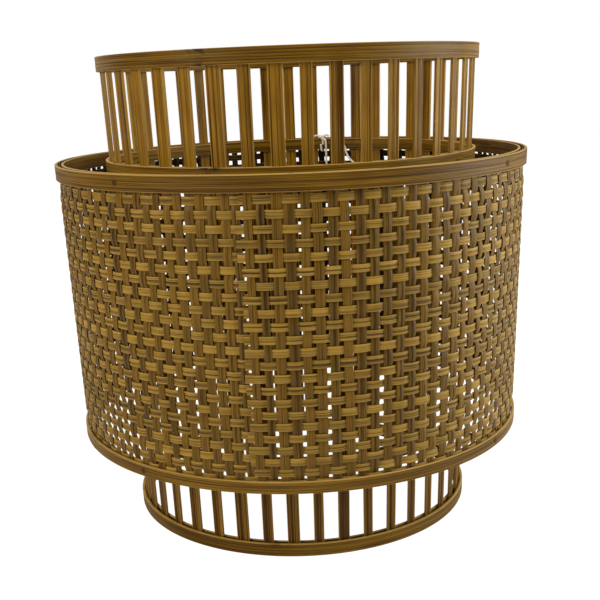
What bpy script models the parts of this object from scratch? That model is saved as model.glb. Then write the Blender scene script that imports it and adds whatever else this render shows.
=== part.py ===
"""Two-tier bamboo lampshade: a woven drum carried round a taller sleeve of upright slats.

Metres, +Z up. The origin is the middle of the circle on which the foot of the sleeve stands.
The front of the shade faces -Y, and angles round it are counted from there towards +X.
"""

import math

import bmesh
import bpy
from mathutils import Vector

# Free space between two pieces that touch on the real shade.
CLEARANCE = 0.0003
# Flat sides that stand for each full circle of bamboo.
SIDES = 96

# The sleeve: upright slats held between an outer and an inner hoop at three levels.
SLEEVE_HEIGHT = 0.3926
SLEEVE_FOOT_RADIUS = 0.1488
SLEEVE_HEAD_RADIUS = 0.1603
OUTER_HOOP_WALL = 0.0026
INNER_HOOP_WALL = 0.0022
HEAD_HOOP_HEIGHT = 0.0119
MID_HOOP_HEIGHT = 0.0106
FOOT_HOOP_HEIGHT = 0.0106

SLAT_COUNT = 43
SLAT_WIDTH = 0.0092
SLAT_THICKNESS = 0.0022
SLAT_FOOT_SHARE = 0.88
SLAT_EDGE = 0.0003
FIRST_SLAT_ANGLE = math.radians(-3.9)
# Hand-split slats vary: their width in a slow and a quick wave round the sleeve, and their place in two.
SLOW_WIDTH_WAVE = 0.15
QUICK_WIDTH_WAVE = 0.11
SLOW_PLACE_WAVE = math.radians(0.7)
QUICK_PLACE_WAVE = math.radians(0.5)

# The drum: one woven wall clamped between an outer and an inner band at each rim.
DRUM_FOOT = 0.0738
DRUM_HEIGHT = 0.2345
DRUM_FOOT_RADIUS = 0.1937
DRUM_HEAD_RADIUS = 0.2000
HEAD_BAND_HEIGHT = 0.0122
FOOT_BAND_HEIGHT = 0.0094
OUTER_BAND_WALL = 0.0025
INNER_BAND_WALL = 0.0022
WEAVE_THICKNESS = 0.0024
# The mid hoop's upper edge stands this far above the drum's.
MID_HOOP_RISE = 0.0012

# The stays: round bamboo pegs that carry the drum on the mid hoop.
STAY_DIAMETER = 0.0045
STAY_ANGLES = [math.radians(degrees) for degrees in (-39.5, 55.0, 140.5, 235.0)]
STAY_PROUD = 0.0003

# The fitter: a flat steel ring for the lampholder, on wire arms with tabs to the head hoop.
FITTER_DROP = 0.0022
FITTER_RING_RADIUS = 0.0300
FITTER_HOLE_RADIUS = 0.0210
FITTER_RING_THICKNESS = 0.0015
ARM_COUNT = 3
ARM_DIAMETER = 0.0030
# The ring lies this share of an arm's diameter deep in the arm's top, where the two are welded.
ARM_WELD = 0.1
ARM_ANGLE = math.radians(30)
TAB_WIDTH = 0.0120
TAB_HEIGHT = 0.0060
TAB_THICKNESS = 0.0012

# The tie cord: one loop of white cord knotted on the mid hoop and hanging inside the sleeve.
TIE_CORD_DIAMETER = 0.0022
TIE_CORD_STEP = 0.0050
TIE_CORD_ROUTE = [
    (0.0323, 0.1447, 0.3101),
    (0.0341, 0.1442, 0.3096),
    (0.0358, 0.1437, 0.3081),
    (0.0362, 0.1436, 0.3047),
    (0.0363, 0.1435, 0.2987),
    (0.0363, 0.1434, 0.2907),
    (0.0364, 0.1433, 0.2827),
    (0.0366, 0.1431, 0.2747),
    (0.0377, 0.1424, 0.2667),
    (0.0402, 0.1408, 0.2587),
    (0.0447, 0.1380, 0.2527),
    (0.0511, 0.1339, 0.2495),
    (0.0580, 0.1289, 0.2492),
    (0.0644, 0.1246, 0.2517),
    (0.0693, 0.1214, 0.2567),
    (0.0721, 0.1201, 0.2637),
    (0.0723, 0.1218, 0.2717),
    (0.0699, 0.1254, 0.2787),
    (0.0648, 0.1297, 0.2846),
    (0.0595, 0.1333, 0.2895),
    (0.0565, 0.1357, 0.2952),
    (0.0549, 0.1371, 0.3014),
    (0.0524, 0.1384, 0.3062),
    (0.0480, 0.1402, 0.3093),
    (0.0423, 0.1421, 0.3104),
]

# sRGB colours of the finishes.
BAMBOO_HOOP = (0.52, 0.41, 0.19)
BAMBOO_SLAT = (0.49, 0.36, 0.11)
BAMBOO_WEAVE = (0.62, 0.50, 0.25)
BAMBOO_PEG = (0.25, 0.15, 0.06)
WHITE_PAINT = (0.90, 0.90, 0.88)
WHITE_CORD = (0.93, 0.92, 0.89)

drum_head = DRUM_FOOT + DRUM_HEIGHT
mid_hoop_head = drum_head + MID_HOOP_RISE
fitter_top = SLEEVE_HEIGHT - FITTER_DROP
widest_slat = SLAT_WIDTH * (1 + SLOW_WIDTH_WAVE + QUICK_WIDTH_WAVE)
# A flat side's middle lies inside the circle that its corners are on by this factor.
flat_share = math.cos(math.pi / SIDES)


def sleeve_radius(height):
    """Outer face of the sleeve's outer hoops at that height, on a straight line from foot to head."""
    share = height / SLEEVE_HEIGHT
    return SLEEVE_FOOT_RADIUS + (SLEEVE_HEAD_RADIUS - SLEEVE_FOOT_RADIUS) * share


def drum_radius(height):
    """Outer face of the drum's outer bands at that height, on a straight line from foot to head."""
    share = (height - DRUM_FOOT) / DRUM_HEIGHT
    return DRUM_FOOT_RADIUS + (DRUM_HEAD_RADIUS - DRUM_FOOT_RADIUS) * share


def slat_face_radius(height):
    """Distance from the axis to a slat's flat outer face, inside the outer hoops at that height."""
    free = (sleeve_radius(height) - OUTER_HOOP_WALL) * flat_share - CLEARANCE
    return math.sqrt(free**2 - (widest_slat / 2) ** 2)


def inner_hoop_radius(height):
    """Outer face of the sleeve's inner hoops at that height, inside the slats."""
    return slat_face_radius(height) - SLAT_THICKNESS - CLEARANCE


def weave_radius(height):
    """Outer face of the woven wall at that height, inside the outer bands."""
    return drum_radius(height) - OUTER_BAND_WALL - CLEARANCE


def inner_band_radius(height):
    """Outer face of the drum's inner bands at that height, inside the woven wall."""
    return weave_radius(height) - WEAVE_THICKNESS - CLEARANCE


def new_collection(name):
    made = bpy.data.collections.new(name)
    bpy.context.scene.collection.children.link(made)
    return made


def new_material(name, colour, roughness):
    made = bpy.data.materials.new(name)
    made.use_nodes = True
    shader = made.node_tree.nodes["Principled BSDF"]
    shader.inputs["Base Color"].default_value = [share**2.2 for share in colour] + [1.0]
    shader.inputs["Roughness"].default_value = roughness
    shader.inputs["Metallic"].default_value = 0.0
    return made


def new_object(name, data, material, collection):
    made = bpy.data.objects.new(name, data)
    if material:
        made.data.materials.append(material)
    collection.objects.link(made)
    return made


def turned_piece(name, profile, material, collection):
    """A closed profile of (radius, height) points, outer side first and downwards, turned round Z."""
    mesh = bpy.data.meshes.new(name)
    points = [(radius, 0.0, height) for radius, height in profile]
    edges = [(i, (i + 1) % len(profile)) for i in range(len(profile))]
    mesh.from_pydata(points, edges, [])
    made = new_object(name, mesh, material, collection)
    screw = made.modifiers.new("Turn", "SCREW")
    screw.axis = "Z"
    screw.angle = math.tau
    screw.steps = SIDES
    screw.render_steps = SIDES
    screw.use_merge_vertices = True
    screw.merge_threshold = 0.00005
    screw.use_smooth_shade = False
    return made


def ring(name, head, height, outer_face, wall, material, collection):
    """A strip bent to a ring: outer_face gives the radius of its outer face at each height."""
    foot = head - height
    profile = [
        (outer_face(head), head),
        (outer_face(foot), foot),
        (outer_face(foot) - wall, foot),
        (outer_face(head) - wall, head),
    ]
    return turned_piece(name, profile, material, collection)


def slat(number, material, collection):
    """One upright slat, wider at its head. Its place and its width wander round the sleeve."""
    turn = math.tau * number / SLAT_COUNT
    wander = SLOW_PLACE_WAVE * math.cos(3 * turn) - QUICK_PLACE_WAVE * math.sin(5 * turn)
    angle = FIRST_SLAT_ANGLE + turn + wander
    slow = SLOW_WIDTH_WAVE * math.cos(2 * turn + 0.9)
    quick = QUICK_WIDTH_WAVE * math.cos(20 * turn - 0.4)
    head_width = SLAT_WIDTH * (1 + slow + quick)
    end_gap = CLEARANCE
    length = SLEEVE_HEIGHT - 2 * end_gap
    foot_radius = slat_face_radius(end_gap)
    head_radius = slat_face_radius(SLEEVE_HEIGHT - end_gap)
    lean = math.atan2(head_radius - foot_radius, length)

    shape = bmesh.new()
    bmesh.ops.create_cube(shape, size=1.0)
    for corner in shape.verts:
        width = head_width if corner.co.z > 0 else head_width * SLAT_FOOT_SHARE
        corner.co.x *= width
        corner.co.y *= SLAT_THICKNESS
        corner.co.z *= length
    mesh = bpy.data.meshes.new(f"slat_{number:02d}")
    shape.to_mesh(mesh)
    shape.free()

    made = new_object(f"slat_{number:02d}", mesh, material, collection)
    radius = (foot_radius + head_radius) / 2 - SLAT_THICKNESS / 2
    made.location = (radius * math.sin(angle), -radius * math.cos(angle), SLEEVE_HEIGHT / 2)
    made.rotation_euler = (lean, 0.0, angle)
    rounding = made.modifiers.new("Rounded edges", "BEVEL")
    rounding.width = SLAT_EDGE
    rounding.segments = 1
    rounding.limit_method = "NONE"
    return made


def radial_rod(name, inner, outer, height, angle, diameter, sides, material, collection):
    """A level round rod that points away from the Z axis at that angle."""
    shape = bmesh.new()
    bmesh.ops.create_cone(
        shape,
        cap_ends=True,
        segments=sides,
        radius1=diameter / 2,
        radius2=diameter / 2,
        depth=outer - inner,
    )
    mesh = bpy.data.meshes.new(name)
    shape.to_mesh(mesh)
    shape.free()
    made = new_object(name, mesh, material, collection)
    middle = (inner + outer) / 2
    made.location = (middle * math.sin(angle), -middle * math.cos(angle), height)
    made.rotation_euler = (math.pi / 2, 0.0, angle)
    return made


def hide_helper(helper):
    helper.hide_render = True
    helper.display_type = "WIRE"


def combine(piece, helper, operation):
    step = piece.modifiers.new(f"{operation.title()} {helper.name}", "BOOLEAN")
    step.operation = operation
    step.solver = "EXACT"
    step.object = helper


def smooth_route(points, spacing):
    """Points about that far apart on the Catmull-Rom curve through the given points."""
    ends = [2 * points[0] - points[1]] + points + [2 * points[-1] - points[-2]]
    fine = []
    for before, start, end, after in zip(ends, ends[1:], ends[2:], ends[3:]):
        for step in range(20):
            t = step / 20
            bend = 2 * before - 5 * start + 4 * end - after
            twist = 3 * start - before - 3 * end + after
            fine.append((2 * start + (end - before) * t + bend * t**2 + twist * t**3) / 2)
    fine.append(points[-1])
    lengths = [0.0]
    for here, there in zip(fine, fine[1:]):
        lengths.append(lengths[-1] + (there - here).length)
    count = max(2, round(lengths[-1] / spacing))
    route = []
    for i in range(count + 1):
        wanted = lengths[-1] * i / count
        place = min(range(len(lengths)), key=lambda j: abs(lengths[j] - wanted))
        route.append(fine[place])
    return route


def cord(name, points, diameter, material, collection):
    curve = bpy.data.curves.new(name, "CURVE")
    curve.dimensions = "3D"
    curve.bevel_depth = diameter / 2
    curve.bevel_resolution = 2
    curve.use_fill_caps = True
    spline = curve.splines.new("POLY")
    spline.points.add(len(points) - 1)
    for target, point in zip(spline.points, points):
        target.co = (*point, 1.0)
    return new_object(name, curve, material, collection)


for old in list(bpy.data.objects):
    bpy.data.objects.remove(old, do_unlink=True)

shade = new_collection("woven_bamboo_lampshade")
cutters = new_collection("cutters")

hoop_bamboo = new_material("hoop_bamboo", BAMBOO_HOOP, 0.5)
slat_bamboo = new_material("slat_bamboo", BAMBOO_SLAT, 0.5)
woven_bamboo = new_material("woven_bamboo", BAMBOO_WEAVE, 0.45)
peg_bamboo = new_material("peg_bamboo", BAMBOO_PEG, 0.6)
painted_steel = new_material("painted_steel", WHITE_PAINT, 0.4)
cord_cotton = new_material("cord_cotton", WHITE_CORD, 0.8)

# Drum
woven_wall = ring(
    "woven_wall",
    drum_head - CLEARANCE,
    DRUM_HEIGHT - 2 * CLEARANCE,
    weave_radius,
    WEAVE_THICKNESS,
    woven_bamboo,
    shade,
)
drum_rims = {"head": (drum_head, HEAD_BAND_HEIGHT), "foot": (DRUM_FOOT + FOOT_BAND_HEIGHT, FOOT_BAND_HEIGHT)}
bands = {}
for rim, (head, height) in drum_rims.items():
    bands[rim, "outer"] = ring(
        f"drum_{rim}_band_outer", head, height, drum_radius, OUTER_BAND_WALL, hoop_bamboo, shade
    )
    bands[rim, "inner"] = ring(
        f"drum_{rim}_band_inner", head, height, inner_band_radius, INNER_BAND_WALL, hoop_bamboo, shade
    )

# Sleeve
hoop_levels = {
    "head": (SLEEVE_HEIGHT, HEAD_HOOP_HEIGHT),
    "mid": (mid_hoop_head, MID_HOOP_HEIGHT),
    "foot": (FOOT_HOOP_HEIGHT, FOOT_HOOP_HEIGHT),
}
hoops = {}
for level, (head, height) in hoop_levels.items():
    hoops[level, "outer"] = ring(
        f"sleeve_{level}_hoop_outer", head, height, sleeve_radius, OUTER_HOOP_WALL, hoop_bamboo, shade
    )
    hoops[level, "inner"] = ring(
        f"sleeve_{level}_hoop_inner", head, height, inner_hoop_radius, INNER_HOOP_WALL, hoop_bamboo, shade
    )
for number in range(SLAT_COUNT):
    slat(number, slat_bamboo, shade)

# Stays, each through the head bands, the wall and the outer mid hoop
stay_height = drum_head - HEAD_BAND_HEIGHT / 2
stay_inner = sleeve_radius(stay_height) - OUTER_HOOP_WALL
stay_outer = drum_radius(stay_height) + STAY_PROUD
pierced = [bands["head", "outer"], woven_wall, bands["head", "inner"], hoops["mid", "outer"]]
for number, angle in enumerate(STAY_ANGLES, start=1):
    radial_rod(
        f"stay_{number}", stay_inner, stay_outer, stay_height, angle, STAY_DIAMETER, 12, peg_bamboo, shade
    )
    hole = radial_rod(
        f"stay_hole_{number}",
        stay_inner - CLEARANCE,
        stay_outer + OUTER_BAND_WALL,
        stay_height,
        angle,
        STAY_DIAMETER + 2 * CLEARANCE,
        12,
        None,
        cutters,
    )
    hide_helper(hole)
    for piece in pierced:
        combine(piece, hole, "DIFFERENCE")

# Fitter
fitter_profile = [
    (FITTER_RING_RADIUS, fitter_top),
    (FITTER_RING_RADIUS, fitter_top - FITTER_RING_THICKNESS),
    (FITTER_HOLE_RADIUS, fitter_top - FITTER_RING_THICKNESS),
    (FITTER_HOLE_RADIUS, fitter_top),
]
fitter = turned_piece("fitter", fitter_profile, painted_steel, shade)
arm_height = fitter_top - FITTER_RING_THICKNESS - (0.5 - ARM_WELD) * ARM_DIAMETER
inner_hoop_bore = (inner_hoop_radius(SLEEVE_HEIGHT - HEAD_HOOP_HEIGHT) - INNER_HOOP_WALL) * flat_share
tab_face = math.sqrt((inner_hoop_bore - CLEARANCE) ** 2 - (TAB_WIDTH / 2) ** 2)
for number in range(ARM_COUNT):
    angle = ARM_ANGLE + math.tau * number / ARM_COUNT
    arm = radial_rod(
        f"fitter_arm_{number + 1}",
        (FITTER_HOLE_RADIUS + FITTER_RING_RADIUS) / 2,
        tab_face - TAB_THICKNESS / 2,
        arm_height,
        angle,
        ARM_DIAMETER,
        10,
        None,
        cutters,
    )
    bpy.ops.mesh.primitive_cube_add(size=1.0)
    tab = bpy.context.object
    tab.name = f"fitter_tab_{number + 1}"
    tab.scale = (TAB_WIDTH, TAB_THICKNESS, TAB_HEIGHT)
    tab_radius = tab_face - TAB_THICKNESS / 2
    tab.location = (tab_radius * math.sin(angle), -tab_radius * math.cos(angle), arm_height)
    tab.rotation_euler = (0.0, 0.0, angle)
    for holder in list(tab.users_collection):
        holder.objects.unlink(tab)
    cutters.objects.link(tab)
    for helper in (arm, tab):
        hide_helper(helper)
        combine(fitter, helper, "UNION")

# Tie cord
route = smooth_route([Vector(point) for point in TIE_CORD_ROUTE], TIE_CORD_STEP)
cord("tie_cord", route, TIE_CORD_DIAMETER, cord_cotton, shade)
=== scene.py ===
"""Looks of a two-tier woven bamboo lampshade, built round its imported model. Metres, +Z up.

Angles round the shade are counted from its front (-Y) towards +X.
"""

import math

import bpy
import numpy as np
from mathutils import Matrix, Vector


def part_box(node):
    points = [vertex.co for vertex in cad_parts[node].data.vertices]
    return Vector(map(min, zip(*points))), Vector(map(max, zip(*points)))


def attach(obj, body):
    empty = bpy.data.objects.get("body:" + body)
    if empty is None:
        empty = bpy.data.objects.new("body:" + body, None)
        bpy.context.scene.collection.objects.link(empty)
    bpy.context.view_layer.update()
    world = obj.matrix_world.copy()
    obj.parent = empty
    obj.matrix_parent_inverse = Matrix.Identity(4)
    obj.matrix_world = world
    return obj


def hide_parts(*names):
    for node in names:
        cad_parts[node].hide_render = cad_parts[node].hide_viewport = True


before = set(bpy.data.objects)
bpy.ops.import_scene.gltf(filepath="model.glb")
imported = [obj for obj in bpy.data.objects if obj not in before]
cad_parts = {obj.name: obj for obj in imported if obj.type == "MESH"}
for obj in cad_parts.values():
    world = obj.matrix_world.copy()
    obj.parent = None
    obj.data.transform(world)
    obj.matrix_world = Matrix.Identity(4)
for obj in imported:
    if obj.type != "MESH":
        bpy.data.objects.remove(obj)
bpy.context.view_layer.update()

# ---------------------------------------------------------------------------------------------
# Camera. A portrait lens about two drum widths in front of the shade, level with its head and
# tipped down a little, so that the slats of the upper tier stand against the light.
# ---------------------------------------------------------------------------------------------
CAMERA_PLACE = (0.0, -0.8571, 0.37005)
CAMERA_DOWN = math.radians(14.48)
CAMERA_YAW = math.radians(-0.41)
CAMERA_ROLL = math.radians(-2.18)
SENSOR_WIDTH = 36.0
LENS_LENGTH = 58.448
LENS_SHIFT = (0.016667, 0.05)

lens = bpy.data.cameras.new("camera")
lens.sensor_width = SENSOR_WIDTH
lens.lens = LENS_LENGTH
lens.shift_x, lens.shift_y = LENS_SHIFT
lens.clip_start = 0.05
camera = bpy.data.objects.new("camera", lens)
camera.matrix_world = (
    Matrix.Translation(CAMERA_PLACE)
    @ Matrix.Rotation(-CAMERA_YAW, 4, "Z")
    @ Matrix.Rotation(math.pi / 2 - CAMERA_DOWN, 4, "X")
    @ Matrix.Rotation(CAMERA_ROLL, 4, "Z")
)
bpy.context.scene.collection.objects.link(camera)
bpy.context.scene.camera = camera
bpy.context.scene.view_settings.view_transform = "Standard"


# ---------------------------------------------------------------------------------------------
# Studio. A seamless white floor and a white room with soft boxes: a key at the upper left, a much
# larger one at the right that lies on the varnish as a pale sheen, one overhead and two behind. Floor
# and room look white, but they light the shade less than that, so that the bamboo keeps its depth.
# ---------------------------------------------------------------------------------------------
FLOOR_SIDE = 12.0
ROOM_LIGHT = 0.09
# The share of the floor's look that is glow, and how strong that glow is.
FLOOR_GLOW = 0.86
GLOW_STRENGTH = 1.16
AIM = Vector((0.0, 0.0, 0.2))
# Each soft box: where it stands, how wide and high it is, its power in watts and its colour.
SOFT_BOXES = {
    "key": ((-1.60, -1.20, 1.25), (0.9, 1.1), 30.0, "#fff0d6"),
    "sheen": ((1.80, -0.10, 0.80), (1.6, 1.8), 41.0, "#fffaf0"),
    "top": ((0.10, -0.45, 1.90), (1.4, 1.4), 16.0, "#fff0d6"),
    "left_back": ((-1.30, 1.60, 0.90), (2.0, 1.6), 9.0, "#ffecd0"),
    "right_back": ((1.30, 1.60, 0.90), (2.0, 1.6), 9.0, "#ffecd0"),
}


def linear(colour):
    """A "#rrggbb" sRGB colour as the linear red, green, blue and alpha that a shader reads."""
    shares = [int(colour[i : i + 2], 16) / 255 for i in (1, 3, 5)]
    return [s / 12.92 if s <= 0.04045 else ((s + 0.055) / 1.055) ** 2.4 for s in shares] + [1.0]


def add_node(tree, kind, inputs, **settings):
    """A new node with its own settings. inputs gives each socket its value, or the output that feeds it."""
    node = tree.nodes.new(kind)
    for name, value in settings.items():
        setattr(node, name, value)
    for socket, value in inputs.items():
        if isinstance(value, bpy.types.NodeSocket):
            tree.links.new(value, node.inputs[socket])
        else:
            node.inputs[socket].default_value = value
    return node


def empty_tree(owner):
    """The node tree of a material or a world, with nothing in it."""
    owner.use_nodes = True
    owner.node_tree.nodes.clear()
    return owner.node_tree


room = bpy.data.worlds.new("white_room")
tree = empty_tree(room)
ray = add_node(tree, "ShaderNodeLightPath", {})
seen = add_node(tree, "ShaderNodeBackground", {"Color": linear("#ffffff"), "Strength": 1.0})
cast = add_node(tree, "ShaderNodeBackground", {"Color": linear("#ffeed4"), "Strength": ROOM_LIGHT})
both = add_node(
    tree, "ShaderNodeMixShader", {0: ray.outputs["Is Camera Ray"], 1: cast.outputs[0], 2: seen.outputs[0]}
)
add_node(tree, "ShaderNodeOutputWorld", {"Surface": both.outputs[0]})
bpy.context.scene.world = room

# The floor shows as white paper with only the softest shadow under the foot hoop.
floor_white = bpy.data.materials.new("white_studio_paper")
tree = empty_tree(floor_white)
ray = add_node(tree, "ShaderNodeLightPath", {})
paper = add_node(tree, "ShaderNodeBsdfDiffuse", {"Color": linear("#ececec")})
glow = add_node(tree, "ShaderNodeEmission", {"Color": linear("#ffffff"), "Strength": GLOW_STRENGTH})
share = add_node(
    tree, "ShaderNodeMath", {0: ray.outputs["Is Camera Ray"], 1: FLOOR_GLOW}, operation="MULTIPLY"
)
both = add_node(tree, "ShaderNodeMixShader", {0: share.outputs[0], 1: paper.outputs[0], 2: glow.outputs[0]})
add_node(tree, "ShaderNodeOutputMaterial", {"Surface": both.outputs[0]})

floor_mesh = bpy.data.meshes.new("floor")
floor_corners = np.array([(-1, -1, 0), (1, -1, 0), (1, 1, 0), (-1, 1, 0)]) * FLOOR_SIDE / 2
floor_mesh.from_pydata(floor_corners.tolist(), [], [(0, 1, 2, 3)])
floor_mesh.materials.append(floor_white)
floor = bpy.data.objects.new("floor", floor_mesh)
bpy.context.scene.collection.objects.link(floor)

for name, (place, (wide, high), power, colour) in SOFT_BOXES.items():
    box = bpy.data.lights.new(name, "AREA")
    box.shape = "RECTANGLE"
    box.size = wide
    box.size_y = high
    box.energy = power
    box.color = linear(colour)[:3]
    lamp = bpy.data.objects.new(name, box)
    away = Vector(place) - AIM
    lamp.matrix_world = Matrix.Translation(place) @ away.to_track_quat("Z", "Y").to_matrix().to_4x4()
    bpy.context.scene.collection.objects.link(lamp)


# ---------------------------------------------------------------------------------------------
# Tie cord. A length of white cotton cord of three twisted strands, knotted on the sleeve's mid
# hoop at the back. Its loop hangs down inside the sleeve and its two short ends lie on the hoop.
# ---------------------------------------------------------------------------------------------
CORD_DIAMETER = 0.0022
CORD_TWIST = 0.0065
# A strand's diameter as a share of the cord's.
STRAND_SHARE = 0.50
CORD_ROUTE = [
    (0.0323, 0.1447, 0.3101),
    (0.0341, 0.1442, 0.3096),
    (0.0358, 0.1437, 0.3081),
    (0.0362, 0.1436, 0.3047),
    (0.0363, 0.1435, 0.2987),
    (0.0363, 0.1434, 0.2907),
    (0.0364, 0.1433, 0.2827),
    (0.0366, 0.1431, 0.2747),
    (0.0377, 0.1424, 0.2667),
    (0.0402, 0.1408, 0.2587),
    (0.0447, 0.1380, 0.2527),
    (0.0511, 0.1339, 0.2495),
    (0.0580, 0.1289, 0.2492),
    (0.0644, 0.1246, 0.2517),
    (0.0693, 0.1214, 0.2567),
    (0.0721, 0.1201, 0.2637),
    (0.0723, 0.1218, 0.2717),
    (0.0699, 0.1254, 0.2787),
    (0.0648, 0.1297, 0.2846),
    (0.0595, 0.1333, 0.2895),
    (0.0565, 0.1357, 0.2952),
    (0.0549, 0.1371, 0.3014),
    (0.0524, 0.1384, 0.3062),
    (0.0480, 0.1402, 0.3093),
    (0.0423, 0.1421, 0.3104),
]


def smooth_line(points, step):
    """Points about that far apart on the Catmull-Rom curve through the given points.

    Between two points P1 and P2 the curve is the cubic that leaves P1 along P2 - P0 and reaches P2
    along P3 - P1.
    """
    given = np.array(points, float)
    given = np.vstack([2 * given[0] - given[1], given, 2 * given[-1] - given[-2]])
    before, start, end, after = (given[i : len(given) - 3 + i, None] for i in range(4))
    t = np.linspace(0, 1, 40, endpoint=False)[None, :, None]
    bend = 2 * before - 5 * start + 4 * end - after
    twist = 3 * start - before - 3 * end + after
    fine = (2 * start + (end - before) * t + bend * t**2 + twist * t**3) / 2
    fine = np.vstack([fine.reshape(-1, 3), given[-2]])
    along = np.concatenate([[0], np.cumsum(np.linalg.norm(np.diff(fine, axis=0), axis=1))])
    wanted = np.linspace(0, along[-1], max(2, round(along[-1] / step)) + 1)
    return np.stack([np.interp(wanted, along, fine[:, k]) for k in range(3)], axis=1)


def round_section(corners):
    """A circle of diameter 1 as (across, outward) points, from its left side along its inner half."""
    angle = math.pi + (np.arange(corners) + 0.5) * math.tau / corners
    return np.stack([np.cos(angle), np.sin(angle)], axis=1) / 2


def carried(name, centre, outward, width, thickness, section, material, closed=False, marks=None):
    """One mesh of strips or rods, each a section carried along its own centre line.

    centre is (strips, steps, 3). At each step the section's point (a, n) lies at centre
    + across * width * a + normal * thickness * n, where normal is outward made square to the line, and
    across = normal x direction. The section runs anticlockwise, half on the inner face and half on the
    outer, so that quads close the ends. The attribute grain holds metres along the line, metres across it
    and a number of the strip's own. marks holds further attributes, each an array that fits
    (strips, steps, corners).
    """
    strips, steps, _ = centre.shape
    corners = section.shape[-2]
    if closed:
        direction = np.roll(centre, -1, 1) - np.roll(centre, 1, 1)
    else:
        direction = np.gradient(centre, axis=1)
    direction /= np.linalg.norm(direction, axis=2, keepdims=True)
    normal = outward - direction * (outward * direction).sum(2, keepdims=True)
    normal /= np.linalg.norm(normal, axis=2, keepdims=True)
    across = np.cross(normal, direction)

    full = (strips, steps, corners)
    section = np.broadcast_to(section.reshape((-1, 1, corners, 2)), full + (2,))
    width = np.broadcast_to(width, (strips, steps))[:, :, None]
    thickness = np.broadcast_to(thickness, (strips, steps))[:, :, None]
    sideways = section[..., 0] * width
    points = centre[:, :, None] + across[:, :, None] * sideways[..., None]
    points = points + normal[:, :, None] * (section[..., 1] * thickness)[..., None]

    number = np.arange(strips * steps * corners).reshape(full)
    here = number if closed else number[:, :-1]
    there = np.roll(number, -1, 1) if closed else number[:, 1:]
    faces = [np.stack([here, np.roll(here, -1, 2), np.roll(there, -1, 2), there], -1).reshape(-1, 4)]
    if not closed:
        j = np.arange(corners // 2 - 1)
        for row, order in ((number[:, -1], 1), (number[:, 0], -1)):
            cap = np.stack([row[:, j], row[:, j + 1], row[:, corners - 2 - j], row[:, corners - 1 - j]], -1)
            faces.append(cap[..., ::order].reshape(-1, 4))
    faces = np.concatenate(faces)

    mesh = bpy.data.meshes.new(name)
    mesh.vertices.add(number.size)
    mesh.vertices.foreach_set("co", points.astype(np.float32).ravel())
    mesh.loops.add(faces.size)
    mesh.loops.foreach_set("vertex_index", faces.astype(np.int32).ravel())
    mesh.polygons.add(len(faces))
    mesh.polygons.foreach_set("loop_start", np.arange(0, faces.size, 4, dtype=np.int32))
    mesh.update(calc_edges=True)
    mesh.shade_smooth()
    mesh.set_sharp_from_angle(angle=math.radians(34))

    stretch = np.linalg.norm(np.diff(centre, axis=1), axis=2)
    along = np.concatenate([np.zeros((strips, 1)), np.cumsum(stretch, axis=1)], axis=1)
    own = np.arange(strips)[:, None, None] * 1.37 + len(name)
    grain = np.stack([np.broadcast_to(g, full) for g in (along[:, :, None], sideways, own)], -1)
    grain_mark = mesh.attributes.new("grain", "FLOAT_VECTOR", "POINT")
    grain_mark.data.foreach_set("vector", grain.astype(np.float32).ravel())
    for mark, values in (marks or {}).items():
        values = np.broadcast_to(values, full).astype(np.float32)
        mesh.attributes.new(mark, "FLOAT", "POINT").data.foreach_set("value", values.ravel())
    mesh.materials.append(material)
    piece = bpy.data.objects.new(name, mesh)
    bpy.context.scene.collection.objects.link(piece)
    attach(piece, "root")
    return piece


# Twisted cotton: matt, with a soft sheen from its loose fibres and fine yarn lines along each strand.
cotton = bpy.data.materials.new("twisted_cotton")
tree = empty_tree(cotton)
grain = add_node(tree, "ShaderNodeAttribute", {}, attribute_name="grain")
yarn_place = add_node(
    tree, "ShaderNodeVectorMath", {0: grain.outputs["Vector"], 1: (900.0, 5000.0, 1.0)}, operation="MULTIPLY"
)
yarn = add_node(tree, "ShaderNodeTexNoise", {"Vector": yarn_place.outputs[0], "Scale": 1.0, "Detail": 3.0})
cotton_colour = add_node(
    tree,
    "ShaderNodeMix",
    {0: yarn.outputs["Fac"], 6: linear("#ece8dc"), 7: linear("#ffffff")},
    data_type="RGBA",
)
cotton_bump = add_node(
    tree, "ShaderNodeBump", {"Height": yarn.outputs["Fac"], "Strength": 0.5, "Distance": 0.0002}
)
shader = add_node(
    tree,
    "ShaderNodeBsdfPrincipled",
    {
        "Base Color": cotton_colour.outputs[2],
        "Roughness": 0.9,
        "Sheen Weight": 0.35,
        "Sheen Roughness": 0.5,
        "Normal": cotton_bump.outputs["Normal"],
    },
)
add_node(tree, "ShaderNodeOutputMaterial", {"Surface": shader.outputs[0]})


def radially(points):
    """The level unit vector away from the Z axis at each point."""
    flat = points * (1.0, 1.0, 0.0)
    return flat / np.linalg.norm(flat, axis=-1, keepdims=True)


def twisted_cord(name, line):
    """Three strands that wind round the line. Each strand's middle turns about it once in CORD_TWIST."""
    along = np.concatenate([[0], np.cumsum(np.linalg.norm(np.diff(line, axis=0), axis=1))])
    direction = np.gradient(line, axis=0)
    direction /= np.linalg.norm(direction, axis=1, keepdims=True)
    first = radially(line)
    first -= direction * (first * direction).sum(1, keepdims=True)
    first /= np.linalg.norm(first, axis=1, keepdims=True)
    second = np.cross(direction, first)
    strand = CORD_DIAMETER * STRAND_SHARE
    turn = math.tau * (along[None] / CORD_TWIST + np.arange(3)[:, None] / 3)
    swing = (CORD_DIAMETER - strand) / 2
    side = np.cos(turn)[..., None] * first + np.sin(turn)[..., None] * second
    return carried(name, line[None] + swing * side, side, strand, strand, round_section(8), cotton)


cord_line = smooth_line(CORD_ROUTE, 0.0006)
tie_cord = twisted_cord("tie_cord_loop", cord_line)
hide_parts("tie_cord")


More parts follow.
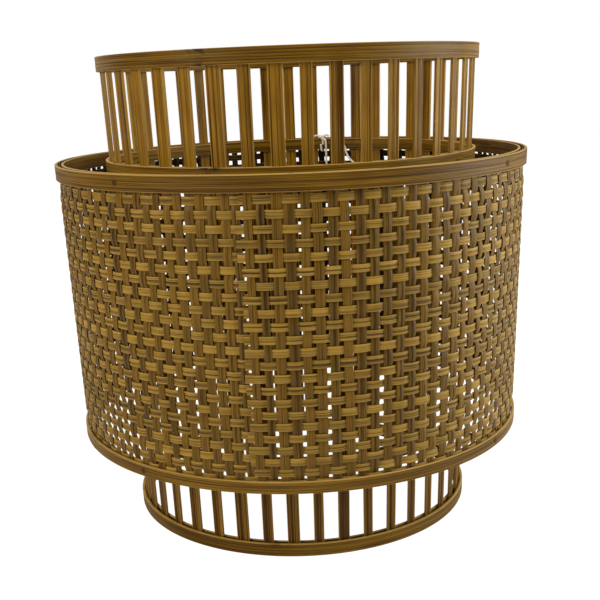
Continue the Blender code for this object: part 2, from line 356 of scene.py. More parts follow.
# ---------------------------------------------------------------------------------------------
# Woven wall. A mat of thin bamboo splits in plain weave, the level ones (wefts) over and under the
# upright ones (warps), rolled into the drum. Its start lies over its end at one seam near the
# front, and both its edges are clamped between the drum's bands.
# ---------------------------------------------------------------------------------------------
SPLIT_THICKNESS = 0.00072
WEAVE_SWING = 0.00060
# The middle of the mat lies MAT_DEPTH inside the bands' outer face. Between the bands it swells out by
# MAT_BULGE, over a height of BULGE_RUN.
MAT_DEPTH = 0.0040
MAT_BULGE = 0.0014
BULGE_RUN = 0.018
SEAM_AZIMUTH = math.radians(-9.0)
SEAM_LIFT = 0.00085
WEFT_WIDTH = 0.0057
WARP_WIDTH = 0.0061
WARPS = 130
# The rows that show, and one more under each band.
WEFT_ROWS = np.arange(-1, 23)
STEPS_A_CROSSING = 6
# A weft is cut this many warps past the first and the last warp of the mat.
WEFT_END = 0.72
# How far a weft strays from its row, slowly along it and from one crossing to the next.
ROW_DRIFT = 0.00022
ROW_JITTER = 0.00010
# Free space between the mat's edges and the drum's own.
MAT_MARGIN = 0.0003
hand = np.random.default_rng(17)


def turned_outline(name):
    """Lowest and highest point of a CAD ring, its outer radius at those two, and its wall."""
    points = np.array([vertex.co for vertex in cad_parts[name].data.vertices])
    reach, height = np.hypot(points[:, 0], points[:, 1]), points[:, 2]
    low, high = height.min(), height.max()
    foot, head = reach[height < low + 1e-5], reach[height > high - 1e-5]
    return float(low), float(high), float(foot.max()), float(head.max()), float(head.max() - head.min())


def face_between(lower, upper):
    """The outer radius by height: a straight line from the lower CAD ring's foot to the upper one's head."""
    low, _, foot_radius, _, _ = turned_outline(lower)
    _, high, _, head_radius, _ = turned_outline(upper)
    return lambda height: foot_radius + (head_radius - foot_radius) * (height - low) / (high - low)


drum_face = face_between("drum_foot_band_outer", "drum_head_band_outer")
mat_low, mat_high = (corner.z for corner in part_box("woven_wall"))
open_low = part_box("drum_foot_band_outer")[1].z
open_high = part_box("drum_head_band_outer")[0].z


def eased(low, high, value):
    """0 below low, 1 above high, and 3 t^2 - 2 t^3 between them."""
    t = np.clip((value - low) / (high - low), 0, 1)
    return t * t * (3 - 2 * t)


def slow_waves(count, at, longest, rng):
    """For each strip, a sum of four sine waves of its own along at, with a height of about 1."""
    total = np.zeros((count, len(at)))
    for k in range(4):
        size = rng.normal(0, 0.6, (count, 1)) / (k + 1) ** 0.5
        phase = rng.uniform(0, math.tau, (count, 1))
        total += size * np.sin(math.tau * at[None] * (k + 1) / longest + phase)
    return total


def warp_number(turn):
    """How many warps lie between the seam and that turn in degrees.

    About 2.8 degrees a warp, with the mat pulled a little tighter towards its end, gathered at both sides
    of the drum, and uneven in waves of 70 degrees.
    """
    around = np.radians(turn)
    gathered = np.sin(around) * (1 - np.cos(around))
    return 0.34326 * turn + 0.000048 * turn**2 + 0.17 * np.sin(math.tau * turn / 70) + gathered


def row_height(row, turn):
    """Height of a row of wefts at that turn in degrees from the seam.

    It is a share of the open wall between the bands. The rows are packed a little closer at the foot, and
    less so at the mat's end than at its start. Just before the seam the middle rows sink, so they miss
    their other ends by a millimetre or two.
    """
    start = 0.0301 + 0.04163 * row + 0.000167 * row**2
    end = 0.0404 + 0.04325 * row + 0.000056 * row**2
    share = start + (end - start) * turn / 360
    sink = 0.0022 * np.exp(-(((360 - turn) / 14) ** 2)) * np.exp(-(((row - 9) / 5) ** 2))
    return open_low + (open_high - open_low) * share - sink


def swing(phase):
    """A cosine with its tops flattened, s (1.5 - 0.5 s^2): 1 over one strip and -1 under the next."""
    s = np.cos(math.pi * phase)
    return s * (1.5 - 0.5 * s * s)


def pressed(height):
    """1 on the open wall, and a quarter less under the bands, which press the weave flat."""
    free = eased(open_low - 0.002, open_low + 0.004, height)
    return 0.76 + 0.24 * np.minimum(free, 1 - eased(open_high - 0.004, open_high + 0.002, height))


def lifted(turn):
    """The mat's start rides SEAM_LIFT outside the middle of the wall, and its end as far inside."""
    return SEAM_LIFT * (1 - eased(2, 16, turn) - eased(343, 357, turn))


def round_axis(azimuth):
    """Level unit vectors that point away from the Z axis."""
    return np.stack([np.sin(azimuth), -np.cos(azimuth), np.zeros_like(azimuth)], axis=-1)


def on_mat(turn, height, offset):
    """Points of the weave, offset metres outside the middle of the mat's thickness."""
    risen = eased(open_low, open_low + BULGE_RUN, height)
    swell = MAT_BULGE * risen * (1 - eased(open_high - BULGE_RUN, open_high, height))
    radius = drum_face(height) - MAT_DEPTH + swell + offset * pressed(height)
    points = round_axis(SEAM_AZIMUTH + np.radians(turn)) * radius[..., None]
    points[..., 2] = height
    return points


def wobble(count, at, first, last, rng):
    """A random number of about 1 for each crossing from first to last, joined by straight lines along at."""
    crossings = np.arange(first, last)
    return np.stack([np.interp(at, crossings, rng.normal(0, 1, len(crossings))) for _ in range(count)])


# A split's section: its inner face is flat, and its outer face, the bamboo's skin side, is slightly crowned.
SPLIT_SECTION = np.array(
    [
        (-0.50, -0.22),
        (-0.45, -0.50),
        (0.00, -0.50),
        (0.45, -0.50),
        (0.50, -0.22),
        (0.50, 0.20),
        (0.445, 0.44),
        (0.00, 0.56),
        (-0.445, 0.44),
        (-0.50, 0.20),
    ]
)


# How much of its edge colour an edge shows, and the colour of a scorched node. The edge colour is partly
# the cut edges' own paler colour and partly a painted highlight where the rims catch the light; on a peg
# it is the dark end grain.
EDGE_TINT_AND_HIGHLIGHT = 0.65
SCORCH_COLOUR = "#1e1005"


def bamboo(name, pale, deep, ember, edge_colour, line, gloss=0.42, contrast=1.0):
    """Split bamboo under clear satin varnish.

    The fibres give dark and light lines along each strip, about line metres apart, over broader streaks three
    times as wide. The strips differ in tone and smoke has left warmer patches. The edges take edge_colour,
    which on a split's rims is partly its own paler colour and partly a painted highlight. At a bamboo's nodes
    the skin is scorched. The varnish is glossier on the pale fibres than between them.
    """
    made = bpy.data.materials.new(name)
    tree = empty_tree(made)
    marks = {}
    for mark in ("tone", "edge", "scorch"):
        marks[mark] = add_node(tree, "ShaderNodeAttribute", {}, attribute_name=mark).outputs["Fac"]
    grain = add_node(tree, "ShaderNodeAttribute", {}, attribute_name="grain").outputs["Vector"]

    noises = {}
    for layer, (long, wide, detail) in {
        "fibre": (0.200, line, 2.0),
        "hair": (0.060, 0.00048, 2.0),
        "streak": (0.400, 3.2 * line, 2.0),
        "patch": (0.045, 0.016, 2.0),
        "char": (0.0045, 0.0030, 3.0),
    }.items():
        place = add_node(
            tree, "ShaderNodeVectorMath", {0: grain, 1: (1 / long, 1 / wide, 3.1)}, operation="MULTIPLY"
        )
        noises[layer] = add_node(
            tree, "ShaderNodeTexNoise", {"Vector": place.outputs[0], "Scale": 1.0, "Detail": detail}
        ).outputs["Fac"]

    # Each noise from low to high, made to run from at_low to at_high.
    spread = {}
    for layer, (low, high, at_low, at_high) in {
        "fibre": (0.32, 0.68, -0.34 * contrast, 0.34 * contrast),
        "hair": (0.30, 0.70, -0.24 * contrast, 0.24 * contrast),
        "streak": (0.32, 0.68, 0.28, 0.72),
        "patch": (0.50, 0.72, 0.0, 0.50),
        "char": (0.40, 0.62, 0.15, 1.0),
    }.items():
        sockets = {"Value": noises[layer], "From Min": low, "From Max": high}
        sockets.update({"To Min": at_low, "To Max": at_high})
        spread[layer] = add_node(tree, "ShaderNodeMapRange", sockets).outputs[0]
    fine = add_node(
        tree, "ShaderNodeMath", {0: spread["fibre"], 1: spread["hair"]}, operation="ADD"
    ).outputs[0]
    both = add_node(tree, "ShaderNodeMath", {0: fine, 1: spread["streak"]}, operation="ADD").outputs[0]
    toned = add_node(
        tree, "ShaderNodeMath", {0: marks["tone"], 1: 0.30, 2: both}, operation="MULTIPLY_ADD", use_clamp=True
    ).outputs[0]
    edge_tint_and_highlight = add_node(tree, "ShaderNodeMath", {0: marks["edge"], 1: EDGE_TINT_AND_HIGHLIGHT}, operation="MULTIPLY").outputs[0]
    burnt = add_node(
        tree, "ShaderNodeMath", {0: marks["scorch"], 1: spread["char"]}, operation="MULTIPLY", use_clamp=True
    ).outputs[0]
    colour = linear(deep)
    for share, over in ((toned, pale), (spread["patch"], ember), (edge_tint_and_highlight, edge_colour), (burnt, SCORCH_COLOUR)):
        colour = add_node(
            tree, "ShaderNodeMix", {0: share, 6: colour, 7: linear(over)}, data_type="RGBA"
        ).outputs[2]
    dull, glossy = gloss + 0.10, gloss - 0.05
    sockets = {"Value": noises["fibre"], "From Min": 0.3, "From Max": 0.7, "To Min": dull, "To Max": glossy}
    roughness = add_node(tree, "ShaderNodeMapRange", sockets).outputs[0]

    relief = add_node(tree, "ShaderNodeMath", {0: noises["fibre"], 1: noises["streak"]}, operation="ADD")
    bump = add_node(
        tree, "ShaderNodeBump", {"Height": relief.outputs[0], "Strength": 0.8, "Distance": 0.00022}
    )
    shader = add_node(
        tree,
        "ShaderNodeBsdfPrincipled",
        {
            "Base Color": colour,
            "Roughness": roughness,
            "IOR": 1.5,
            "Specular IOR Level": 0.15,
            "Coat Weight": 0.06,
            "Coat Roughness": 0.25,
            "Normal": bump.outputs["Normal"],
        },
    )
    add_node(tree, "ShaderNodeOutputMaterial", {"Surface": shader.outputs[0]})
    return made


# The warps are coloured darker than the wefts.
weft_bamboo = bamboo("varnished_weft_split", "#a28438", "#261402", "#4b2c05", "#b4954a", 0.0006, contrast=1.8)
warp_bamboo = bamboo("varnished_warp_split", "#7a5d1c", "#1e1202", "#3c2604", "#7f6226", 0.0006, contrast=1.7)

# The inner face of a split is this much darker in tone: painted shade, so that the weave's holes look dark.
INNER_FACE_SHADE = np.where(SPLIT_SECTION[:, 1] < -0.3, -2.2, 0.0)
split_edge = (np.abs(SPLIT_SECTION[:, 0]) > 0.47).astype(float)
# The rims of the crowned outer face take the edge colour too, as a painted highlight along them.
split_edge[[6, 8]] = 0.8

# The wefts: each runs once round, from its cut end on top of the seam to the one tucked under it.
phase = np.linspace(-WEFT_END, WARPS - 1 + WEFT_END, round((WARPS - 1 + 2 * WEFT_END) * STEPS_A_CROSSING) + 1)
turns = np.linspace(-6, 366, 4000)
for parity, side in enumerate(("even", "odd")):
    rows = WEFT_ROWS[(WEFT_ROWS % 2) == parity]
    count = len(rows)
    ragged = hand.uniform(-0.20, 0.25, (count, 1)) * np.exp(-np.maximum(phase + WEFT_END, 0) / 0.5)
    at = phase[None] + ragged
    turn = np.interp(at, warp_number(turns), turns)
    jitter = wobble(count, phase, -2, WARPS + 2, hand)
    tilt = wobble(count, phase, -2, WARPS + 2, hand)
    height = row_height(rows[:, None], turn)
    height = height + ROW_DRIFT * slow_waves(count, phase, 90.0, hand) + ROW_JITTER * jitter
    height = np.clip(height, mat_low + WEFT_WIDTH / 2, mat_high - WEFT_WIDTH / 2)
    inside = eased(-0.15, 0.35, at) * (1 - eased(WARPS - 1.1, WARPS - 0.7, at))
    offset = WEAVE_SWING * (-1.0) ** rows[:, None] * swing(at) * inside + 0.00018 * (1 - inside)
    centre = on_mat(turn, height, offset + lifted(turn))
    outward = round_axis(SEAM_AZIMUTH + np.radians(turn)) + np.array([0, 0, 1.0]) * (0.045 * tilt)[..., None]
    split = hand.normal(0, 1, (count, 1))
    width = WEFT_WIDTH * (1 + 0.05 * split + 0.025 * slow_waves(count, phase, 40.0, hand))
    # Painted light: the tone follows each crossing's tilt, so a weft tipped to face upward is painted paler.
    tone = hand.normal(0, 0.45, (count, 1)) + 0.55 * slow_waves(count, phase, 40.0, hand) + 0.40 * tilt
    wefts = carried(
        f"weave_wefts_{side}",
        centre,
        outward,
        width,
        SPLIT_THICKNESS,
        SPLIT_SECTION,
        weft_bamboo,
        marks={"tone": np.clip(tone, -1.6, 1.3)[..., None] + INNER_FACE_SHADE, "edge": split_edge},
    )
    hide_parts("woven_wall")

# The warps: each stands from the foot rim to the head rim.
level = np.linspace(WEFT_ROWS[0] - WEFT_END, WEFT_ROWS[-1] + WEFT_END, 6 * len(WEFT_ROWS) + 3)
for parity, side in enumerate(("even", "odd")):
    numbers = np.arange(parity, WARPS, 2)
    count = len(numbers)
    own_turn = np.interp(numbers, warp_number(turns), turns)[:, None]
    wander = 0.10 * slow_waves(count, level, 30.0, hand)
    wander = wander + hand.normal(0, 0.10, (count, 1)) * (level - 10) / 10
    turn = own_turn + wander
    height = np.clip(row_height(level[None], own_turn), mat_low + MAT_MARGIN, mat_high - MAT_MARGIN)
    height = np.sort(height, axis=1) + 1e-6 * np.arange(len(level))
    offset = -WEAVE_SWING * (-1.0) ** numbers[:, None] * swing(level[None]) + lifted(turn)
    tilt = wobble(count, level, -3, 25, hand)
    azimuth = SEAM_AZIMUTH + np.radians(turn)
    outward = round_axis(azimuth) + round_axis(azimuth + math.pi / 2) * (0.035 * tilt)[..., None]
    width = WARP_WIDTH * np.clip(1 + 0.09 * hand.normal(0, 1, (count, 1)), 0.84, 1.18)
    # Painted light: the tone follows each crossing's tilt, so a warp turned towards higher angles round the
    # shade is painted paler.
    tone = hand.normal(0, 0.6, (count, 1)) + 0.40 * slow_waves(count, level, 12.0, hand) + 0.30 * tilt
    warps = carried(
        f"weave_warps_{side}",
        on_mat(turn, height, offset),
        outward,
        width * (1 + 0.02 * slow_waves(count, level, 20.0, hand)),
        SPLIT_THICKNESS,
        SPLIT_SECTION,
        warp_bamboo,
        marks={"tone": np.clip(tone, -1.6, 1.3)[..., None] + INNER_FACE_SHADE, "edge": split_edge},
    )
    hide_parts("woven_wall")


# ---------------------------------------------------------------------------------------------
# Bands and hoops. Each is one long split of thick bamboo, bent round and closed by a scarf joint:
# its two ends are pared thin and lie over each other. The outer one of a pair shows the bamboo's
# skin, with the fibres as fine grooves, and here and there a node, a low ridge with scorched spots.
# ---------------------------------------------------------------------------------------------
HOOP_EDGE = 0.0005
HOOP_STEPS = 300
SCARF_LENGTH = 0.024
# How thick the pared end still is, as a share of the wall.
SCARF_TIP = 0.14
FIBRE_GROOVE = 0.00009
CREASE_DEPTH = 0.00025
NODE_RIDGE = 0.00018
# The hoops' bright edge colour is partly the cut edges' own colour and partly a painted highlight along their
# top and foot edges.
hoop_bamboo = bamboo("varnished_hoop_split", "#86671a", "#3a2303", "#523203", "#cfae68", 0.0006, contrast=1.4)


def strip_section(width, thickness, edge, face_points, groove, creases, rng):
    """A flat strip's section in shares of its width and thickness, with rounded edges and grooved faces.

    Each face has face_points across its flat part, sunk by up to groove metres, and CREASE_DEPTH more at each
    crease, which is a share of the width from the middle. Each edge is a quarter round in three points.
    """
    arc = np.radians([90.0, 50.0, 15.0])
    flat = np.linspace(-width / 2 + edge, width / 2 - edge, face_points + 2)[1:-1]
    sunk = groove * rng.uniform(0, 1, (2, face_points))
    for crease in creases:
        sunk[0] += CREASE_DEPTH * np.exp(-(((flat / width - crease) / 0.04) ** 2))
    corner = np.stack([width / 2 - edge + edge * np.cos(arc), thickness / 2 - edge + edge * np.sin(arc)], 1)
    outer = [corner[::-1], np.stack([flat[::-1], thickness / 2 - sunk[0][::-1]], 1), corner * (-1, 1)]
    inner = [(corner * (-1, -1))[::-1], np.stack([flat, sunk[1] - thickness / 2], 1), corner * (1, -1)]
    return np.concatenate(inner + outer) / (width, thickness)


def at_edges(section):
    """1 on the edges of a section and 0 on its faces."""
    return (np.abs(section[:, 0]) > 0.46).astype(float)


def fibre_bands(section, rng):
    """A tone for each point of a section, from dark and light fibres that run the strip's whole length."""
    across = np.linspace(-0.5, 0.5, 10)
    return np.interp(section[:, 0], across, rng.normal(0, 0.45, len(across)))


def hoop(name, outline, joint, nodes, creases, tone, seed):
    """A strip bent into a ring of that turned outline, with a scarf joint at the angle joint.

    The strip's middle line runs from joint to joint + 360 degrees + the scarf. Along the scarf its start
    keeps only its outer part and its end only the inner part, each pared to a tip. nodes gives the angle of
    each bamboo node and how dark it is scorched. A node is a ridge across the strip with scorched spots,
    most at its upper edge.
    """
    rng = np.random.default_rng(seed)
    low, high, outer_foot, outer_head, wall = outline
    middle = (outer_head + outer_foot) / 2
    scarf = SCARF_LENGTH / middle
    angle = np.linspace(0, math.tau + scarf, HOOP_STEPS)
    azimuth = joint + angle
    start = np.clip(angle / scarf, 0, 1)
    end = np.clip((math.tau + scarf - angle) / scarf, 0, 1)
    outer_share = SCARF_TIP + (1 - SCARF_TIP) * start
    inner_share = (1 - SCARF_TIP) * (1 - end)

    section = strip_section(high - low, wall, HOOP_EDGE, 11, FIBRE_GROOVE, creases, rng)
    place = section[:, 0]
    at_top = np.exp(-(((place - 0.5) / 0.22) ** 2))
    at_foot = np.exp(-(((place + 0.5) / 0.15) ** 2))
    across = 0.35 + 1.1 * at_top + 0.7 * at_foot
    scorch = np.zeros((len(angle), len(section)))
    ridge = np.zeros(len(angle))
    for node, burn in nodes.items():
        gap = ((azimuth - math.radians(node) + math.pi) % math.tau - math.pi) * middle
        scorch += burn * np.exp(-((gap / 0.0080) ** 2))[:, None] * across
        ridge += NODE_RIDGE * np.exp(-((gap / 0.0018) ** 2))

    thickness = wall * (outer_share - inner_share) * 0.985 + ridge
    radius = middle - wall + wall * (outer_share + inner_share) / 2 + ridge / 2
    centre = round_axis(azimuth) * radius[:, None]
    centre[:, 2] = (low + high) / 2
    outward = round_axis(azimuth) + np.array([0.0, 0.0, (outer_foot - outer_head) / (high - low)])
    shade = tone + 0.25 * slow_waves(1, angle * 10, 30.0, rng)[..., None] + fibre_bands(section, rng)
    piece = carried(
        name,
        centre[None],
        outward[None],
        high - low,
        thickness[None],
        section,
        hoop_bamboo,
        marks={"tone": shade, "edge": at_edges(section), "scorch": np.clip(scorch, 0, 1)[None]},
    )
    return piece


# For each hoop of the frame: the angle of its joint, those of its nodes and how scorched each is, its
# creases and its tone.
HOOPS = {
    "drum_head_band_outer": (150.0, {72.0: 0.9, -97.0: 0.8, 170.0: 0.7}, [-0.22], -0.10),
    "drum_head_band_inner": (106.0, {-150.0: 0.8, 20.0: 0.6}, [0.1], -0.30),
    "drum_foot_band_outer": (205.0, {-64.0: 0.8, 96.0: 0.8}, [-0.1], -0.20),
    "drum_foot_band_inner": (-120.0, {60.0: 0.7}, [], -0.30),
    "sleeve_head_hoop_outer": (120.0, {-22.8: 1.0, 84.0: 0.8, 200.0: 0.7}, [0.22], 0.00),
    "sleeve_head_hoop_inner": (-75.0, {150.0: 0.7, 35.0: 0.6}, [], -0.10),
    "sleeve_mid_hoop_outer": (51.0, {-22.0: 1.0, 170.0: 0.8}, [0.0], 0.70),
    "sleeve_mid_hoop_inner": (250.0, {155.0: 0.7, 10.0: 0.6}, [], 0.00),
    "sleeve_foot_hoop_outer": (160.0, {-9.0: 0.3, 101.0: 0.8}, [0.15], 0.10),
    "sleeve_foot_hoop_inner": (20.0, {188.0: 0.7}, [], -0.30),
}
for seed, (name, (joint, nodes, creases, tone)) in enumerate(HOOPS.items()):
    strip = hoop(f"{name}_split", turned_outline(name), math.radians(joint), nodes, creases, tone, 100 + seed)
    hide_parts(name)

# A fourth pair of hoops stands inside the drum's foot band, where the lower stays end.
for side, joint, seed in (("outer", 2.1, 120), ("inner", -2.6, 121)):
    face = face_between(f"sleeve_foot_hoop_{side}", f"sleeve_head_hoop_{side}")
    low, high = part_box("drum_foot_band_outer")[0].z, open_low
    wall = turned_outline(f"sleeve_foot_hoop_{side}")[4]
    outline = (low, high, face(low), face(high), wall)
    hoop(f"sleeve_low_hoop_{side}_split", outline, joint, {-40.0 * joint: 0.7}, [], -0.2, seed)


# ---------------------------------------------------------------------------------------------
# Slats. Forty-three upright bamboo splits, planed flat and a little wider at the head, clamped
# between the sleeve's hoops at three levels. Hand splitting leaves them all a little different.
# ---------------------------------------------------------------------------------------------
SLAT_STEPS = 26
SLAT_EDGE = 0.00035
# Below the mid hoop, inside and under the drum, the slats are this much darker in tone: painted shade where
# the drum shadows them.
PAINTED_FOOT_SHADE = 1.1
slat_bamboo = bamboo("varnished_slat_split", "#a17b24", "#412703", "#694204", "#b8954a", 0.0007, contrast=1.5)


def straight_piece(name):
    """A CAD piece's points, and the level unit vectors away from the axis and beside it where it stands."""
    points = np.array([vertex.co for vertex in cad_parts[name].data.vertices])
    middle = points.mean(axis=0)
    azimuth = math.atan2(middle[0], -middle[1])
    return points, round_axis(np.array(azimuth)), round_axis(np.array(azimuth + math.pi / 2))


level = np.linspace(0, 1, SLAT_STEPS)
for number in range(sum(name.startswith("slat_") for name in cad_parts)):
    name = f"slat_{number:02d}"
    rng = np.random.default_rng(300 + number)
    points, away, beside = straight_piece(name)
    low, high = points[:, 2].min(), points[:, 2].max()
    upper = points[:, 2] > (low + high) / 2
    reach, side = points @ away, points @ beside
    outer_foot, outer_head = reach[~upper].max(), reach[upper].max()
    thickness = outer_head - reach[upper].min()
    foot_width, head_width = np.ptp(side[~upper]), np.ptp(side[upper])

    radius = outer_foot + (outer_head - outer_foot) * level - thickness / 2
    width = foot_width + (head_width - foot_width) * level
    width = width * (1 + 0.012 * slow_waves(1, level, 1.0, rng)[0])
    bow = 0.0004 * slow_waves(1, level, 1.6, rng)[0] * np.sin(math.pi * level)
    centre = away[None] * radius[:, None] + beside[None] * bow[:, None]
    centre[:, 2] = low + (high - low) * level
    creases = rng.uniform(-0.4, 0.4, rng.integers(1, 4))
    section = strip_section(head_width, thickness, SLAT_EDGE, 13, 1.6 * FIBRE_GROOVE, creases, rng)
    tone = rng.normal(0, 0.5) + 0.25 * slow_waves(1, level, 0.8, rng)[..., None] + fibre_bands(section, rng)
    # Painted shade on the slats below the mid hoop.
    tone = tone - PAINTED_FOOT_SHADE * (1 - eased(0.55, 0.85, level))[None, :, None]
    slat = carried(
        f"{name}_split",
        centre[None],
        np.broadcast_to(away, centre.shape)[None],
        width[None],
        thickness,
        section,
        slat_bamboo,
        marks={"tone": tone, "edge": at_edges(section)},
    )
    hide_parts(name)


# ---------------------------------------------------------------------------------------------
# Stays. Round bamboo pegs driven in from outside, through the drum's rim into the sleeve's hoops.
# Their ends are trimmed almost flush and show dark end grain. Four are at the head rim and four at the foot.
# ---------------------------------------------------------------------------------------------
STAY_PROUD = 0.0003
peg_bamboo = bamboo("trimmed_bamboo_peg", "#7a5a28", "#3f2a0e", "#4a300f", "#2e1c08", 0.0006, gloss=0.55)
low_hoop_face = face_between("sleeve_foot_hoop_outer", "sleeve_head_hoop_outer")
low_height = (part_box("drum_foot_band_outer")[0].z + open_low) / 2
# A peg's shape: shares of its length, with its diameter at each, and how dark its end grain is there.
PEG_SHARES = np.array([0, 0.01, 0.03, 0.25, 0.5, 0.75, 0.985, 0.9975, 1])
PEG_WIDTHS = np.array([0.90, 0.99, 1, 1, 1, 1, 1, 0.99, 0.92])


def peg(name, away, inner, outer, height, diameter):
    """A round rod from the radius inner to outer, with rounded ends and a darker outer end."""
    centre = away[None] * (inner + (outer - inner) * PEG_SHARES)[:, None]
    centre[:, 2] = height
    section = round_section(20)
    upright = np.broadcast_to(np.array([0, 0, 1.0]), centre.shape)
    made = carried(
        name,
        centre[None],
        upright[None],
        diameter * PEG_WIDTHS[None],
        diameter * PEG_WIDTHS[None],
        section,
        peg_bamboo,
        marks={"tone": 0.0, "edge": (PEG_SHARES > 0.98).astype(float)[None, :, None]},
    )
    return made


for number in range(1, sum(name.startswith("stay_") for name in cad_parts) + 1):
    points, away, beside = straight_piece(f"stay_{number}")
    reach = points @ away
    height = (points[:, 2].min() + points[:, 2].max()) / 2
    diameter = np.ptp(points[:, 2])
    upper_peg = peg(f"stay_{number}_head_peg", away, reach.min(), reach.max(), height, diameter)
    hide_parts(f"stay_{number}")
    inner = low_hoop_face(low_height) - turned_outline("sleeve_foot_hoop_outer")[4]
    peg(f"stay_{number}_foot_peg", away, inner, drum_face(low_height) + STAY_PROUD, low_height, diameter)


# ---------------------------------------------------------------------------------------------
# Fitter. A flat steel ring for the lampholder, welded on three wire arms. Each arm ends in a tab
# held to the inner head hoop by two brads. The whole of it is powder-coated white.
# ---------------------------------------------------------------------------------------------
RING_RADIUS = 0.0300
RING_HOLE = 0.0210
RING_THICKNESS = 0.0015
ARM_ANGLES = np.radians([30.0, 150.0, 270.0])
ARM_DIAMETER = 0.0030
TAB_WIDTH = 0.0120
TAB_HEIGHT = 0.0060
TAB_THICKNESS = 0.0012
TAB_CORNER = 0.0014
BRAD_HEAD = 0.0026
BRAD_SPACING = 0.0066

# Powder coat on steel: an even white with the faint orange peel of the baked powder, under a soft gloss.
powder = bpy.data.materials.new("white_powder_coat")
tree = empty_tree(powder)
where = add_node(tree, "ShaderNodeTexCoord", {}).outputs["Object"]
peel, dust = (
    add_node(tree, "ShaderNodeTexNoise", {"Vector": where, "Scale": 1 / grit, "Detail": detail}).outputs[0]
    for grit, detail in ((0.0012, 2.0), (0.02, 4.0))
)
dusty = add_node(
    tree,
    "ShaderNodeMapRange",
    {"Value": dust, "From Min": 0.45, "From Max": 0.75, "To Min": 0.0, "To Max": 0.5},
).outputs[0]
coat_colour = add_node(
    tree, "ShaderNodeMix", {0: dusty, 6: linear("#e9e8e3"), 7: linear("#cfc8b6")}, data_type="RGBA"
)
coat_bump = add_node(tree, "ShaderNodeBump", {"Height": peel, "Strength": 0.25, "Distance": 0.0001})
shader = add_node(
    tree,
    "ShaderNodeBsdfPrincipled",
    {
        "Base Color": coat_colour.outputs[2],
        "Roughness": 0.38,
        "IOR": 1.5,
        "Normal": coat_bump.outputs["Normal"],
    },
)
add_node(tree, "ShaderNodeOutputMaterial", {"Surface": shader.outputs[0]})


def fitter_piece(name, centre, outward, width, thickness, section, closed=False):
    """One steel piece of the fitter: a section carried along centre, as the strips are."""
    line = np.asarray(centre)[None]
    outward = np.broadcast_to(outward, line.shape[1:])[None]
    made = carried(name, line, outward, width, thickness, section, powder, closed)
    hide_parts("fitter")
    return made


fitter_low, fitter_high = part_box("fitter")
fitter_points, _, _ = straight_piece("fitter")
ring_middle = fitter_high.z - RING_THICKNESS / 2
arm_height = fitter_low.z + TAB_HEIGHT / 2
up = np.array([0.0, 0.0, 1.0])

circle = round_axis(np.linspace(0, math.tau, 97)[:-1]) * (RING_RADIUS + RING_HOLE) / 2 + up * ring_middle
steel = np.random.default_rng(5)
flat_bar = strip_section(RING_RADIUS - RING_HOLE, RING_THICKNESS, 0.0004, 4, 0.0, [], steel)
fitter_piece("fitter_ring", circle, up, RING_RADIUS - RING_HOLE, RING_THICKNESS, flat_bar, closed=True)

for number, angle in enumerate(ARM_ANGLES, start=1):
    away, beside = round_axis(angle), round_axis(angle + math.pi / 2)
    tab_face = (fitter_points @ away).max()
    arm_share = np.linspace(0, 1, 12)[:, None]
    start = away * (RING_RADIUS + RING_HOLE) / 2
    end = away * (tab_face - TAB_THICKNESS / 2)
    arm_line = start + (end - start) * arm_share + up * arm_height
    rounded = ARM_DIAMETER * np.where(arm_share[:, 0] == 0, 0.8, 1.0)[None]
    fitter_piece(f"fitter_arm_{number}", arm_line, up, rounded, rounded, round_section(16))

    rise = np.array([0, 0.1, 0.35, 0.75, 1.2, 1.6]) * TAB_CORNER / 1.6
    rise = np.concatenate([rise, TAB_HEIGHT - rise[::-1]])
    from_end = np.minimum(rise, TAB_HEIGHT - rise)
    inset = TAB_CORNER - np.sqrt(np.maximum(TAB_CORNER**2 - np.maximum(TAB_CORNER - from_end, 0) ** 2, 0))
    tab_line = end + up * (arm_height - TAB_HEIGHT / 2 + rise)[:, None]
    plate = strip_section(TAB_WIDTH, TAB_THICKNESS, 0.0003, 4, 0.0, [], steel)
    fitter_piece(f"fitter_tab_{number}", tab_line, away, (TAB_WIDTH - 2 * inset)[None], TAB_THICKNESS, plate)

    for side in (-1, 1):
        depth = np.array([-0.0004, 0.0, 0.0003, 0.0006, 0.0008])[:, None]
        head = BRAD_HEAD * np.array([1.0, 1.0, 0.88, 0.60, 0.20])[None]
        place = away * (tab_face - TAB_THICKNESS) + beside * side * BRAD_SPACING / 2 + up * arm_height
        name = f"fitter_brad_{number}_{(side + 3) // 2}"
        fitter_piece(name, place - away * depth, up, head, head, round_section(14))


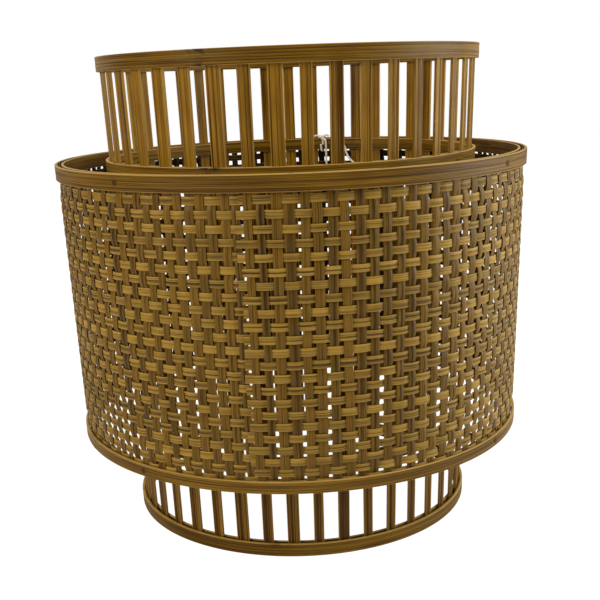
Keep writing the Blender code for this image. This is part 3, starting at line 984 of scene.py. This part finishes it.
# ---------------------------------------------------------------------------------------------
# Knot. The cord goes once round both mid hoops, through a gap between two slats, and its ends
# are tied on top in an overhand knot and cut short.
# ---------------------------------------------------------------------------------------------
WRAP_GAP = 0.0002
hoop_low, hoop_high, _, hoop_outer, _ = turned_outline("sleeve_mid_hoop_outer")
_, _, _, inner_outer, inner_wall = turned_outline("sleeve_mid_hoop_inner")
exit_point = np.array(CORD_ROUTE[0])
knot_azimuth = math.atan2(exit_point[0], -exit_point[1])
away, beside = round_axis(np.array(knot_azimuth)), round_axis(np.array(knot_azimuth + math.pi / 2))
half = CORD_DIAMETER / 2 + WRAP_GAP
near, far = inner_outer - inner_wall - half, hoop_outer + half

# The wrap: a rounded rectangle round the hoops' section, as x^4 + y^4 = 1, that drifts sideways as it goes.
turn = np.linspace(0, math.tau, 120)
squared = (np.cos(turn) ** 4 + np.sin(turn) ** 4) ** -0.25
wrap_rise = (hoop_high - hoop_low) / 2 + half
wrap_line = (
    away * ((near + far) / 2 - (far - near) / 2 * squared * np.cos(turn))[:, None]
    + beside * (CORD_DIAMETER * (turn / math.tau - 0.5))[:, None]
    + up * ((hoop_low + hoop_high) / 2 + wrap_rise * squared * np.sin(turn))[:, None]
)
# The knot: a trefoil, with x = sin t + 2 sin 2t, y = cos t - 2 cos 2t and z = -sin 3t, drawn tight.
turn = np.linspace(0, math.tau, 121)
knot_middle = away * (near + 0.0012) + up * (hoop_high + 0.0018)
knot_line = (
    knot_middle
    + beside * (0.00085 * (np.sin(turn) + 2 * np.sin(2 * turn)))[:, None]
    + up * (0.00048 * (np.cos(turn) - 2 * np.cos(2 * turn)))[:, None]
    - away * (0.00080 * np.sin(3 * turn))[:, None]
)
tails = {
    "left": [(0.0, 0.0), (-0.0022, 0.0009), (-0.0046, 0.0020), (-0.0068, 0.0012)],
    "right": [(0.0, 0.0), (0.0024, 0.0010), (0.0052, 0.0016), (0.0080, 0.0010)],
}
cord_ties = [twisted_cord("tie_cord_wrap", wrap_line), twisted_cord("tie_cord_knot", knot_line)]
for side, points in tails.items():
    route = [knot_middle + beside * sideways + up * rise for sideways, rise in points]
    cord_ties.append(twisted_cord(f"tie_cord_tail_{side}", smooth_line(route, 0.0006)))
